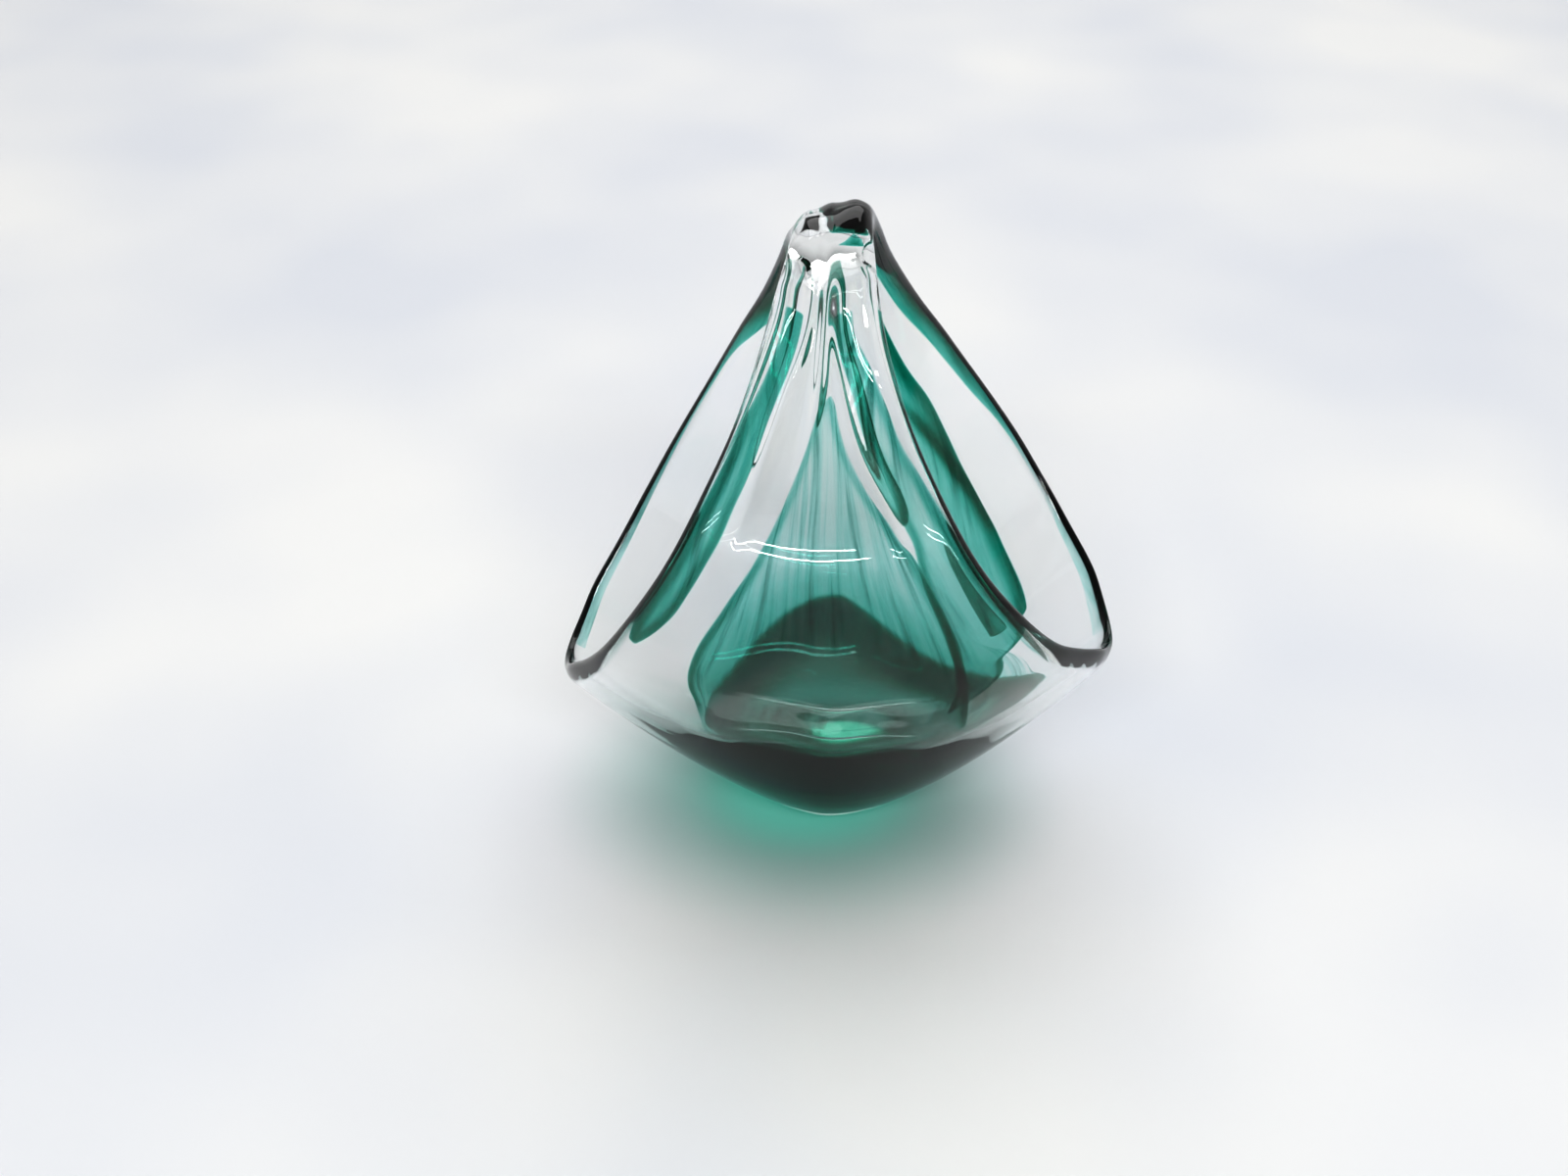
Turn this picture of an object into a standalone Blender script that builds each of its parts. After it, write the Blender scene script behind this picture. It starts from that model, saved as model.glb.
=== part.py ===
"""Art glass bowl: a cased glass basket bowl, pulled up into a knob over two side openings.

The bowl is one hot-worked piece of glass made of three gathers, and each gather is a solid here:
the clear casing outside, the thin teal layer, and the clear lining inside. Its walls run as a ring
in the Y-Z plane, from the foot up the front wall, over the knob and down the back wall. Across the
ring, along X, each wall ends in a rounded lip, and the two rings of lips are the side openings.
The origin is at the centre of the foot, +Z is up, and the openings face -X and +X.
"""
import math

import bmesh
import bpy

# Driving dimensions, in metres.
HALF_WIDTH = 0.0750        # from the middle to the tip of each side lip
LEFT_TIP_HEIGHT = 0.0440   # middle of the lip at the tip on -X
RIGHT_TIP_HEIGHT = 0.0600  # middle of the lip at the tip on +X
TOP_HEIGHT = 0.1805        # top of the knob
BELLY_HALF_DEPTH = 0.0465  # middle of the wall, outside, at its widest along Y
RIM_HALF_DEPTH = 0.0430    # middle of the lip at its widest along Y
NECK_HALF_WIDTH = 0.0095   # the knob, from its middle to its side
NECK_SHIFT = -0.0027       # how far the knob is set over along X
KNOB_THICKNESS = 0.0115    # glass between the handle opening and the top
FLOOR_THICKNESS = 0.0200   # glass under the bowl's inside
WALL_THICKNESS = 0.0055    # walls at mid height
LIP_THICKNESS = 0.0050     # rounded lips of the side openings
TEAL_THICKNESS = 0.0014    # the colour layer
LAYER_GAP = 0.0003         # clearance between two layers
FOOT_DIP = 0.0024          # how much the ground flat takes off the round bottom
PLEAT_HEIGHT = 0.0009      # folds in the outside of the pulled walls
KNOB_ROUND = 0.45          # how much of the knob's half width its rounded sides take
KNOB_TILT = 0.30           # rise of the knob's top towards +X, as a slope

# Mesh steps.
RING_STEPS = 60            # around the ring of walls
COLOUR_STEPS = 12          # across the coloured middle of a wall
CLEAR_STEPS = 2            # from the colour to a lip
LIP_STEPS = 3              # from a wall to the end of its lip
EDGE_STEPS = 2             # from the colour layer to its rounded edge
LIP_END_ANGLE = math.radians(80.0)
SHARP_ANGLE = math.radians(50.0)

# The outside of the wall's middle line: way up the ring, part of the depth, part of the height.
OUTSIDE_LINE = (
    (0.00, 0.00, 0.000), (0.08, 0.30, 0.009), (0.20, 0.59, 0.080), (0.32, 0.83, 0.200),
    (0.46, 0.98, 0.363), (0.60, 0.98, 0.540), (0.75, 0.80, 0.730), (0.86, 0.54, 0.862),
    (0.94, 0.31, 0.957), (0.98, 0.13, 0.993), (1.00, 0.00, 1.000),
)
# The lips: way up the ring, part of the width, part of the depth, part of the rise from the tip.
LIP_LINE = (
    (0.00, 1.000, 0.00, 0.000), (0.06, 0.992, 0.12, 0.008), (0.13, 0.965, 0.27, 0.034),
    (0.20, 0.920, 0.43, 0.080), (0.28, 0.825, 0.63, 0.152), (0.37, 0.715, 0.82, 0.245),
    (0.46, 0.580, 0.95, 0.365), (0.56, 0.425, 0.99, 0.500), (0.66, 0.285, 0.90, 0.630),
    (0.75, 0.165, 0.73, 0.745), (0.84, 0.075, 0.50, 0.860), (0.92, 0.025, 0.27, 0.950),
    (1.00, 0.000, 0.00, 1.000),
)
# Wall thickness between the floor, the plain wall and the knob: way up the ring, share of each.
FLOOR_SHARE = ((0.00, 1.00), (0.08, 0.96), (0.20, 0.55), (0.32, 0.15), (0.46, 0.0), (1.00, 0.0))
KNOB_SHARE = ((0.00, 0.0), (0.56, 0.0), (0.75, 0.10), (0.86, 0.27), (0.94, 0.62), (1.00, 1.0))
# Where the colour ends, as a part of the width from the middle to the lip.
TEAL_REACH = (
    (0.00, 0.60), (0.12, 0.62), (0.24, 0.68), (0.36, 0.78), (0.50, 0.80), (0.72, 0.72),
    (0.84, 0.60), (0.92, 0.48), (1.00, 0.42),
)
TEAL_LOBES = 9             # finger ends around the ring at each side
TEAL_LOBE_REACH = 0.05     # how far a lobe stands out, as a part of the width
LOBE_TURN = 1.3            # how far the right side's lobes are set over
KEEL_SHARE = 0.25          # beside the thick floor, the part of its extra thickness that is left
TEAL_EDGE_RUN = 0.03       # the colour's rounded edge, as a part of the width
TEAL_EDGE_FADE = 0.12      # beyond the colour, where the clear layers close up
SEAM_SHARE = 0.25          # how far in from the wall's middle the colour lies
PLEATS = 3.5               # folds across a wall
PLEAT_TURN = 0.9           # how far the folds of the back wall are set over
PLEAT_EDGE_POWER = 4       # how late the folds flatten out towards a lip
PLEAT_KNOB_LOSS = 0.6      # the part of the folds' height that is lost at the knob
FOOT_BEND = 1.42           # power of the curve from the foot to the tips
WALL_BEND = 1.70           # power of the curve from a wall's middle to its lips
KNOB_LIP_SHARE = 0.9       # height of the knob's sides, as a part of its thickness
SLOPE_STEP = 0.01          # way up the ring over which the wall's slope is measured

KEEL_FADE = (0.12, 0.62)   # ways across over which the thick floor gets thinner

# Ways up the ring over which something comes in or goes out.
FOOT_TURN_FADE = (0.0, 0.12)   # the foot's upright direction goes out
KNOB_TURN_FADE = (0.80, 1.0)   # the knob's upright direction comes in
SHIFT_FADE = (0.45, 0.92)      # the knob's shift comes in
TILT_FADE = (0.86, 1.0)        # the knob's tilt comes in
KEEL_END_FADE = (0.46, 0.56)   # the thinner sides of the floor go out
LIFT_FADE = (0.12, 0.66)       # the higher tip's lift goes out
BEND_FADE = (0.1, 0.5)         # the foot's curve turns into the walls' curve
PLEAT_FADE = (0.42, 0.80)      # the folds come in
PLEAT_KNOB_FADE = (0.93, 1.0)  # the folds lose height


def read_line(line, way, crossing=0):
    """The values of a line at one way up the ring, on a smooth curve through its points.

    The line goes on as its own mirror image past the foot and the knob, so its ends are level
    there, but for a crossing column, which changes sides.
    """
    last = len(line) - 1
    index = next((i for i in range(last) if way <= line[i + 1][0]), last - 1)

    def slope(i, column):
        if i in (0, last) and column != crossing:
            return 0.0
        low, high = max(i - 1, 0), min(i + 1, last)
        return (line[high][column] - line[low][column]) / (line[high][0] - line[low][0])

    start, end = line[index], line[index + 1]
    run = end[0] - start[0]
    part = (way - start[0]) / run
    values = []
    for column in range(1, len(line[0])):
        leave, arrive = slope(index, column) * run, slope(index + 1, column) * run
        rise = end[column] - start[column]
        values.append(start[column] + part * (leave + part * (
            3.0 * rise - 2.0 * leave - arrive + part * (leave + arrive - 2.0 * rise))))
    return values


def fade(value, low, high):
    """0 below low, 1 above high, and a smooth step between."""
    part = min(max((value - low) / (high - low), 0.0), 1.0)
    return part * part * (3.0 - 2.0 * part)


class Station:
    """One section across the ring: the wall's middle line and lips at one way up it."""

    def __init__(self, turn):
        """turn runs from 0 at the foot, through 0.5 at the knob by the front, to 1 at the foot."""
        self.side = -1.0 if turn < 0.5 else 1.0
        self.way = 1.0 - abs(1.0 - 2.0 * turn)
        self.turn = turn
        depth, height = read_line(OUTSIDE_LINE, self.way, crossing=1)
        self.outside = (self.side * depth * BELLY_HALF_DEPTH, height * TOP_HEIGHT)
        self.inward = self.find_inward()
        floor, knob = read_line(FLOOR_SHARE, self.way)[0], read_line(KNOB_SHARE, self.way)[0]
        floor, knob = max(floor, 0.0), max(knob, 0.0)
        wall = 1.0 - max(floor, knob)
        self.thickness = floor * FLOOR_THICKNESS + knob * KNOB_THICKNESS + wall * WALL_THICKNESS
        knob_lip = KNOB_LIP_SHARE * KNOB_THICKNESS
        self.lip_thickness = LIP_THICKNESS + knob * (knob_lip - LIP_THICKNESS)
        across, out, up = read_line(LIP_LINE, self.way, crossing=2)
        self.half_width = NECK_HALF_WIDTH + across * (HALF_WIDTH - NECK_HALF_WIDTH)
        self.lip_depth = self.side * out * RIM_HALF_DEPTH
        knob_middle = TOP_HEIGHT - 0.5 * KNOB_THICKNESS
        self.lip_height = LEFT_TIP_HEIGHT + up * (knob_middle - LEFT_TIP_HEIGHT)
        self.lift = (RIGHT_TIP_HEIGHT - LEFT_TIP_HEIGHT) * (1.0 - fade(self.way, *LIFT_FADE))
        self.lip_run = min(0.5 * self.lip_thickness, KNOB_ROUND * NECK_HALF_WIDTH)

    def find_inward(self):
        """The direction through the wall, towards the inside, in the Y-Z plane."""
        low = read_line(OUTSIDE_LINE, max(self.way - SLOPE_STEP, 0.0), crossing=1)
        high = read_line(OUTSIDE_LINE, min(self.way + SLOPE_STEP, 1.0), crossing=1)
        along_y = (high[0] - low[0]) * BELLY_HALF_DEPTH
        along_z = (high[1] - low[1]) * TOP_HEIGHT
        length = math.hypot(along_y, along_z)
        # At the foot and the knob the direction turns upright, so the inside stays round there.
        at_foot = 1.0 - fade(self.way, *FOOT_TURN_FADE)
        at_knob = fade(self.way, *KNOB_TURN_FADE)
        lean = -self.side * along_z / length * (1.0 - at_foot - at_knob)
        rise = along_y / length * (1.0 - at_foot - at_knob) + at_foot - at_knob
        length = math.hypot(lean, rise)
        return (lean / length, rise / length)

    def lip_share(self, across):
        """0 in the middle of the wall and 1 at its lips."""
        return abs(across) ** (FOOT_BEND + (WALL_BEND - FOOT_BEND) * fade(self.way, *BEND_FADE))

    def half(self, across):
        """Half of the wall's thickness at one way across it."""
        share = self.lip_share(across)
        return 0.5 * (self.thickness * (1.0 - share) + self.lip_thickness * share)

    def glass(self, across):
        """The glass from the outside to the inside at one way across the wall."""
        share = self.lip_share(across)
        slim = WALL_THICKNESS + KEEL_SHARE * (self.thickness - WALL_THICKNESS)
        beside = fade(abs(across), *KEEL_FADE) * (1.0 - fade(self.way, *KEEL_END_FADE))
        middle = self.thickness + beside * (min(self.thickness, slim) - self.thickness)
        return middle * (1.0 - share) + self.lip_thickness * share

    def place(self, across, offset):
        """A point of the wall: across from -1 to 1, and offset in metres in from its middle."""
        share = self.lip_share(across)
        x = across * self.half_width + NECK_SHIFT * fade(self.way, *SHIFT_FADE)
        y = (self.outside[0] + self.inward[0] * 0.5 * self.thickness) * (1.0 - share)
        z = (self.outside[1] + self.inward[1] * 0.5 * self.thickness) * (1.0 - share)
        y += self.lip_depth * share + self.inward[0] * offset
        z += self.lip_height * share + self.inward[1] * offset
        if across > 0.0:
            z += self.lift * across ** 2
        z += KNOB_TILT * x * fade(self.way, *TILT_FADE)
        z -= FOOT_DIP * (1.0 - z / TOP_HEIGHT)
        return (x, y, max(z, 0.0))

    def pleat(self, across):
        """How far the outside stands out in the folds of the pulled walls."""
        knob_loss = PLEAT_KNOB_LOSS * fade(self.way, *PLEAT_KNOB_FADE)
        rise = fade(self.way, *PLEAT_FADE) * (1.0 - knob_loss)
        turn = PLEAT_TURN if self.side > 0.0 else 0.0
        edge = 1.0 - abs(across) ** PLEAT_EDGE_POWER
        return PLEAT_HEIGHT * rise * edge * math.cos(math.pi * PLEATS * across + turn)

    def wall_steps(self):
        """Ways across the wall from lip to lip, each with the share of the thickness there."""
        run = self.lip_run / self.half_width
        left, right = self.teal_reach(False), self.teal_reach(True)
        lip = []
        for i in range(LIP_STEPS):
            angle = LIP_END_ANGLE * (1.0 - i / LIP_STEPS)
            lip.append((1.0 - run + run * math.sin(angle), math.cos(angle)))
        steps = [(-across, share) for across, share in lip]
        steps += [(run - 1.0 + (1.0 - run - left) * i / CLEAR_STEPS, 1.0) for i in range(CLEAR_STEPS)]
        steps += [(across, 1.0) for across in self.colour_steps()]
        steps += [(1.0 - run - (1.0 - run - right) * i / CLEAR_STEPS, 1.0)
                  for i in reversed(range(CLEAR_STEPS))]
        return steps + lip[::-1]

    def colour_steps(self):
        """Ways across the colour layer, from its left edge to its right edge."""
        left, right = self.teal_reach(False), self.teal_reach(True)
        return [(left + right) * i / COLOUR_STEPS - left for i in range(COLOUR_STEPS + 1)]

    def teal_reach(self, right):
        """How far the colour reaches towards a lip, with its finger ends."""
        reach = read_line(TEAL_REACH, self.way)[0]
        phase = LOBE_TURN if right else 0.0
        return reach + TEAL_LOBE_REACH * math.cos(2.0 * math.pi * TEAL_LOBES * self.turn + phase)

    def seam(self, across):
        """Offset of the middle of the colour layer, in from the wall's middle."""
        part = 0.5 + 0.5 * SEAM_SHARE * (1.0 - across ** 2)
        return part * self.glass(across) - self.half(across)

    def room(self, across):
        """Half of the distance that the clear layers keep for the colour and its clearances."""
        reach = self.teal_reach(across > 0.0)
        beyond = fade(abs(across), reach, reach + TEAL_EDGE_FADE)
        return 0.5 * LAYER_GAP + 0.5 * (TEAL_THICKNESS + LAYER_GAP) * (1.0 - beyond)

    def casing_loop(self):
        """Section of the outer gather: its outside from lip to lip, then its inside face back."""
        steps = self.wall_steps()
        skin = [self.place(a, -self.half(a) * share - self.pleat(a)) for a, share in steps]
        face = [self.place(a, self.seam(a) - self.room(a)) for a, share in reversed(steps)]
        return skin + face

    def lining_loop(self):
        """Section of the inner gather: its outer face from lip to lip, then its inside back."""
        steps = self.wall_steps()
        face = [self.place(a, self.seam(a) + self.room(a)) for a, share in steps]
        skin = [self.place(a, (self.glass(a) - self.half(a)) * share)
                for a, share in reversed(steps)]
        return face + skin

    def teal_loop(self):
        """Section of the colour layer: its outer face, its inner face and its rounded edges."""
        left, *middle, right = self.colour_steps()
        edge = []
        for i in range(1, EDGE_STEPS + 1):
            angle = 0.5 * math.pi * i / (EDGE_STEPS + 1)
            edge.append((TEAL_EDGE_RUN * (1.0 - math.cos(angle)), math.sin(angle)))
        spots = [(left + run, share) for run, share in edge]
        spots += [(across, 1.0) for across in middle]
        spots += [(right - run, share) for run, share in reversed(edge)]
        outer = [self.place(a, self.seam(a) - 0.5 * TEAL_THICKNESS * share) for a, share in spots]
        inner = [self.place(a, self.seam(a) + 0.5 * TEAL_THICKNESS * share) for a, share in spots]
        left_edge, right_edge = self.place(left, self.seam(left)), self.place(right, self.seam(right))
        return [left_edge] + outer + [right_edge] + inner[::-1]


def clear_scene():
    """Remove what a new file starts with."""
    for old in list(bpy.data.objects):
        bpy.data.objects.remove(old, do_unlink=True)


def make_glass(name, colour, roughness):
    """A glass material of one colour."""
    material = bpy.data.materials.new(name)
    material.use_nodes = True
    shader = material.node_tree.nodes["Principled BSDF"]
    shader.inputs["Base Color"].default_value = colour
    shader.inputs["Roughness"].default_value = roughness
    shader.inputs["Metallic"].default_value = 0.0
    shader.inputs["IOR"].default_value = 1.5
    shader.inputs["Transmission Weight"].default_value = 1.0
    return material


def make_layer(name, section, material, collection):
    """One layer of glass: a torus whose sections are drawn out to the wall's own."""
    loops = [section(Station(i / RING_STEPS)) for i in range(RING_STEPS)]
    loop_steps = len(loops[0])
    bpy.ops.mesh.primitive_torus_add(
        major_segments=RING_STEPS, minor_segments=loop_steps, major_radius=1.0, minor_radius=0.25)
    layer = bpy.context.object
    layer.name = name
    mesh = layer.data
    mesh.name = name
    for index, vertex in enumerate(mesh.vertices):
        vertex.co = loops[index // loop_steps][index % loop_steps]
    shape = bmesh.new()
    shape.from_mesh(mesh)
    bmesh.ops.recalc_face_normals(shape, faces=shape.faces)
    # Neighbouring layers are split along the same diagonals, so their gap stays even.
    bmesh.ops.triangulate(shape, faces=shape.faces, quad_method="SHORT_EDGE")
    shape.to_mesh(mesh)
    shape.free()
    mesh.shade_smooth()
    mesh.set_sharp_from_angle(angle=SHARP_ANGLE)
    mesh.materials.append(material)
    for home in list(layer.users_collection):
        home.objects.unlink(layer)
    collection.objects.link(layer)
    return layer


def main():
    clear_scene()
    bowl = bpy.data.collections.new("art_glass_bowl")
    bpy.context.scene.collection.children.link(bowl)
    clear = make_glass("clear_glass", (0.94, 0.97, 0.96, 1.0), 0.02)
    lining = make_glass("lining_glass", (0.92, 0.97, 0.95, 1.0), 0.02)
    teal = make_glass("teal_glass", (0.05, 0.42, 0.34, 1.0), 0.03)
    make_layer("clear_casing", Station.casing_loop, clear, bowl)
    make_layer("teal_layer", Station.teal_loop, teal, bowl)
    make_layer("clear_lining", Station.lining_loop, lining, bowl)


main()
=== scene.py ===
import math

import bmesh
import bpy
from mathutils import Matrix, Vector


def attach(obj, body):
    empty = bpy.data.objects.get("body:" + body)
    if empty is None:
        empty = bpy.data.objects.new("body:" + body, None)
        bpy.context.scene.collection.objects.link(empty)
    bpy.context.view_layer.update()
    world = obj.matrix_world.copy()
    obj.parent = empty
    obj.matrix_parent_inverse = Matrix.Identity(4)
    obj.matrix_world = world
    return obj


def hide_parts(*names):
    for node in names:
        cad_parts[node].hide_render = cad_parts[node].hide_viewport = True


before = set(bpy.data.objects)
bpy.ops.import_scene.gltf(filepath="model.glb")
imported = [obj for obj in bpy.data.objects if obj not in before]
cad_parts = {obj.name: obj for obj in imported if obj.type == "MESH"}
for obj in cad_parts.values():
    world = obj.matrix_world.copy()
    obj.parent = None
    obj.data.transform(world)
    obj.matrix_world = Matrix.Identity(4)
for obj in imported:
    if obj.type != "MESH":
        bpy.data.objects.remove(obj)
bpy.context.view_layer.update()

bl_info = {
    "name": "Cased Glass Basket Bowl",
    "version": (1, 0, 0),
    "blender": (4, 5, 0),
    "location": "View3D > Sidebar > Glass Bowl",
    "description": "Dresses the bowl's frame with hand-worked clear glass and its teal colour",
    "category": "Object",
}

# Lines of the bowl. A way up the ring is 0 at the foot and 1 at the knob.
# The outside of the wall's middle: way, part of the depth, part of the height.
OUTSIDE_LINE = (
    (0.00, 0.00, 0.000), (0.08, 0.30, 0.009), (0.20, 0.59, 0.080), (0.32, 0.83, 0.200),
    (0.46, 0.98, 0.363), (0.60, 0.98, 0.540), (0.75, 0.80, 0.730), (0.86, 0.54, 0.862),
    (0.94, 0.31, 0.957), (0.98, 0.13, 0.993), (1.00, 0.00, 1.000),
)
# The lips: way, part of the width, part of the depth, part of the rise from the tip.
LIP_LINE = (
    (0.00, 1.000, 0.00, 0.000), (0.06, 0.992, 0.12, 0.008), (0.13, 0.965, 0.27, 0.034),
    (0.20, 0.920, 0.43, 0.080), (0.28, 0.825, 0.63, 0.152), (0.37, 0.715, 0.82, 0.245),
    (0.46, 0.580, 0.95, 0.365), (0.56, 0.425, 0.99, 0.500), (0.66, 0.285, 0.90, 0.630),
    (0.75, 0.165, 0.73, 0.745), (0.84, 0.075, 0.50, 0.860), (0.92, 0.025, 0.27, 0.950),
    (1.00, 0.000, 0.00, 1.000),
)
FLOOR_SHARE = ((0.00, 1.00), (0.08, 0.96), (0.20, 0.55), (0.32, 0.15), (0.46, 0.0), (1.00, 0.0))
KNOB_SHARE = ((0.00, 0.0), (0.56, 0.0), (0.75, 0.10), (0.86, 0.27), (0.94, 0.62), (1.00, 1.0))

FRONT, BACK = -1.0, 1.0

KNOB_LIP_SHARE = 0.9       # height of the knob's sides, as a part of its thickness
KNOB_ROUND = 0.45          # how much of the knob's half width its rounded sides take
FOOT_BEND = 1.42           # power of the curve from the foot to the tips
WALL_BEND = 1.70           # power of the curve from a wall's middle to its lips
MIDDLE_ROUND = 0.04        # part of the width over which that curve is rounded in the middle
KEEL_SHARE = 0.25          # beside the thick floor, the part of its extra thickness that is left
SLOPE_STEP = 0.01          # way up the ring over which the wall's slope is measured
STEP_CROWDING = 0.65       # how much closer the ring's steps lie at the foot and the knob
LIP_STEPS_PART = 9         # one step across in so many is on the round of a lip
SHEET_STEPS = 56           # mesh steps across a sheet of colour
SHEET_RINGS = 120          # mesh steps along a sheet of colour
POOL_RINGS = 160           # mesh steps along the pool of colour
SHEET_ROOM = 0.7           # the most that a sheet takes of the glass it lies in
COLOUR_EDGE = 0.0005       # the round of a sheet's edge

# Ways across or up the ring over which something comes in or goes out.
KEEL_FADE = (0.12, 0.62)
KEEL_END_FADE = (0.46, 0.56)
FOOT_TURN_FADE = (0.0, 0.12)
KNOB_TURN_FADE = (0.80, 1.0)
SHIFT_FADE = (0.45, 0.92)
TILT_FADE = (0.86, 1.0)
LIFT_FADE = (0.12, 0.66)
BEND_FADE = (0.1, 0.5)
RELIEF_KNOB_FADE = (0.88, 0.97)
RELIEF_LIP_FADE = (0.96, 1.0)

# The folds of the back wall: how many, how far set over, height, and where they come and go.
BACK_FOLDS = 3.5
BACK_FOLD_TURN = 0.9
BACK_FOLD_DEPTH = 0.0004
BACK_FOLD_FADE = (0.50, 0.85)
BACK_FOLD_KNOB_FADE = (0.93, 1.0)


def read_line(line, way, crossing=0):
    """The values of a line at one way up the ring, on a smooth curve through its points.

    The line goes on as its own mirror image past its ends, so it is level there, but for a
    crossing column, which changes sides.
    """
    last = len(line) - 1
    index = next((i for i in range(last) if way <= line[i + 1][0]), last - 1)

    def slope(i, column):
        if i in (0, last) and column != crossing:
            return 0.0
        low, high = max(i - 1, 0), min(i + 1, last)
        return (line[high][column] - line[low][column]) / (line[high][0] - line[low][0])

    start, end = line[index], line[index + 1]
    run = end[0] - start[0]
    part = (way - start[0]) / run
    values = []
    for column in range(1, len(line[0])):
        leave, arrive = slope(index, column) * run, slope(index + 1, column) * run
        rise = end[column] - start[column]
        values.append(start[column] + part * (leave + part * (
            3.0 * rise - 2.0 * leave - arrive + part * (leave + arrive - 2.0 * rise))))
    return values


def smooth(line, way):
    """The value of a two-column line on its smooth curve, level past its ends."""
    return read_line(line, min(max(way, line[0][0]), line[-1][0]), crossing=1)[0]


def fade(value, low, high):
    """0 below low, 1 above high, and a smooth step between."""
    part = min(max((value - low) / (high - low), 0.0), 1.0)
    return part * part * (3.0 - 2.0 * part)


class BowlSizes(bpy.types.PropertyGroup):
    """Sizes of the glass, in the frame's metres."""

    half_width: bpy.props.FloatProperty(
        name="Half width", description="From the middle to the tip of a side lip",
        default=0.0749, unit="LENGTH")
    top_height: bpy.props.FloatProperty(
        name="Height", description="Top of the knob", default=0.1803, unit="LENGTH")
    belly_depth: bpy.props.FloatProperty(
        name="Belly half depth", description="Outside of the walls at their widest",
        default=0.0465, unit="LENGTH")
    rim_depth: bpy.props.FloatProperty(
        name="Lip half depth", description="Lips at their widest", default=0.0430, unit="LENGTH")
    neck_half_width: bpy.props.FloatProperty(
        name="Knob half width", description="The knob from its middle to its side",
        default=0.0095, unit="LENGTH")
    neck_shift: bpy.props.FloatProperty(
        name="Knob shift", description="How far the knob is set over along X",
        default=-0.0027, unit="LENGTH")
    left_tip: bpy.props.FloatProperty(
        name="Left tip", description="Height of the lower side tip", default=0.0440,
        unit="LENGTH")
    right_tip: bpy.props.FloatProperty(
        name="Right tip", description="Height of the higher side tip", default=0.0600,
        unit="LENGTH")
    knob_thickness: bpy.props.FloatProperty(
        name="Knob thickness", description="Glass over the handle opening", default=0.0115,
        unit="LENGTH")
    floor_thickness: bpy.props.FloatProperty(
        name="Floor thickness", description="Glass under the inside of the bowl",
        default=0.0200, unit="LENGTH")
    wall_thickness: bpy.props.FloatProperty(
        name="Wall thickness", description="Walls at mid height", default=0.0055,
        unit="LENGTH")
    lip_thickness: bpy.props.FloatProperty(
        name="Lip thickness", description="Rounded lips", default=0.0050, unit="LENGTH")
    foot_dip: bpy.props.FloatProperty(
        name="Foot dip", description="What the ground flat takes off the foot",
        default=0.0024, unit="LENGTH")
    knob_tilt: bpy.props.FloatProperty(
        name="Knob tilt", description="Rise of the knob's top towards +X, as a slope",
        default=0.30)
    ring_steps: bpy.props.IntProperty(
        name="Ring steps", description="Mesh steps around the ring of walls", default=256)
    across_steps: bpy.props.IntProperty(
        name="Across steps", description="Mesh steps across a wall", default=128)


class GlassColours(bpy.types.PropertyGroup):
    """Colours of the glass."""

    teal: bpy.props.FloatVectorProperty(
        name="Teal", description="What the teal glass lets through", subtype="COLOR",
        size=3, default=(0.01, 0.73, 0.66))
    teal_density: bpy.props.FloatProperty(
        name="Teal density", description="How strong the teal glass is, per metre",
        default=2500.0)
    clear: bpy.props.FloatVectorProperty(
        name="Clear", description="What the clear glass lets through", subtype="COLOR",
        size=3, default=(0.30, 0.55, 0.50))
    clear_density: bpy.props.FloatProperty(
        name="Clear density", description="How strong the clear glass is, per metre",
        default=2.0)


# Lines on the walls, each a way up the ring and a part of the width there.
FINGER_LEFT_EDGE = (
    (0.430, -0.950), (0.452, -0.963), (0.482, -0.975), (0.522, -0.975), (0.656, -0.950),
    (0.706, -0.935), (0.756, -0.905), (0.793, -0.850), (0.846, -0.760), (0.883, -0.720),
    (0.990, -0.700))
FINGER_LEFT_FOLD = (
    (0.430, -0.920), (0.448, -0.900), (0.475, -0.875), (0.508, -0.850), (0.548, -0.835),
    (0.595, -0.812), (0.635, -0.785), (0.672, -0.775), (0.712, -0.755), (0.769, -0.735),
    (0.796, -0.700), (0.839, -0.600), (0.886, -0.525), (0.990, -0.520))
FLAME_LEFT = (
    (0.340, -0.520), (0.395, -0.600), (0.418, -0.655), (0.448, -0.685), (0.492, -0.688),
    (0.532, -0.662), (0.579, -0.613), (0.625, -0.537), (0.666, -0.463), (0.696, -0.400),
    (0.739, -0.300), (0.769, -0.212), (0.796, -0.120), (0.815, -0.010), (0.825, 0.105))
FLAME_RIGHT = (
    (0.340, 0.600), (0.430, 0.690), (0.520, 0.740), (0.600, 0.720), (0.635, 0.688),
    (0.652, 0.638), (0.682, 0.575), (0.709, 0.488), (0.739, 0.388), (0.769, 0.288),
    (0.796, 0.213), (0.815, 0.170), (0.825, 0.125))
RIGHT_FOLD = (
    (0.395, 0.560), (0.430, 0.640), (0.520, 0.690), (0.600, 0.690), (0.645, 0.713),
    (0.672, 0.690), (0.699, 0.675), (0.736, 0.638), (0.766, 0.562), (0.796, 0.513),
    (0.826, 0.470), (0.853, 0.370), (0.890, 0.275), (0.990, 0.260))
RIGHT_EDGE = (
    (0.395, 0.660), (0.401, 0.763), (0.408, 0.812), (0.425, 0.845), (0.436, 0.860),
    (0.441, 0.930), (0.452, 0.975), (0.480, 0.985), (0.600, 0.965), (0.659, 0.945),
    (0.706, 0.915), (0.753, 0.850), (0.786, 0.815), (0.829, 0.715), (0.849, 0.640),
    (0.886, 0.475), (0.990, 0.460))
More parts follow.
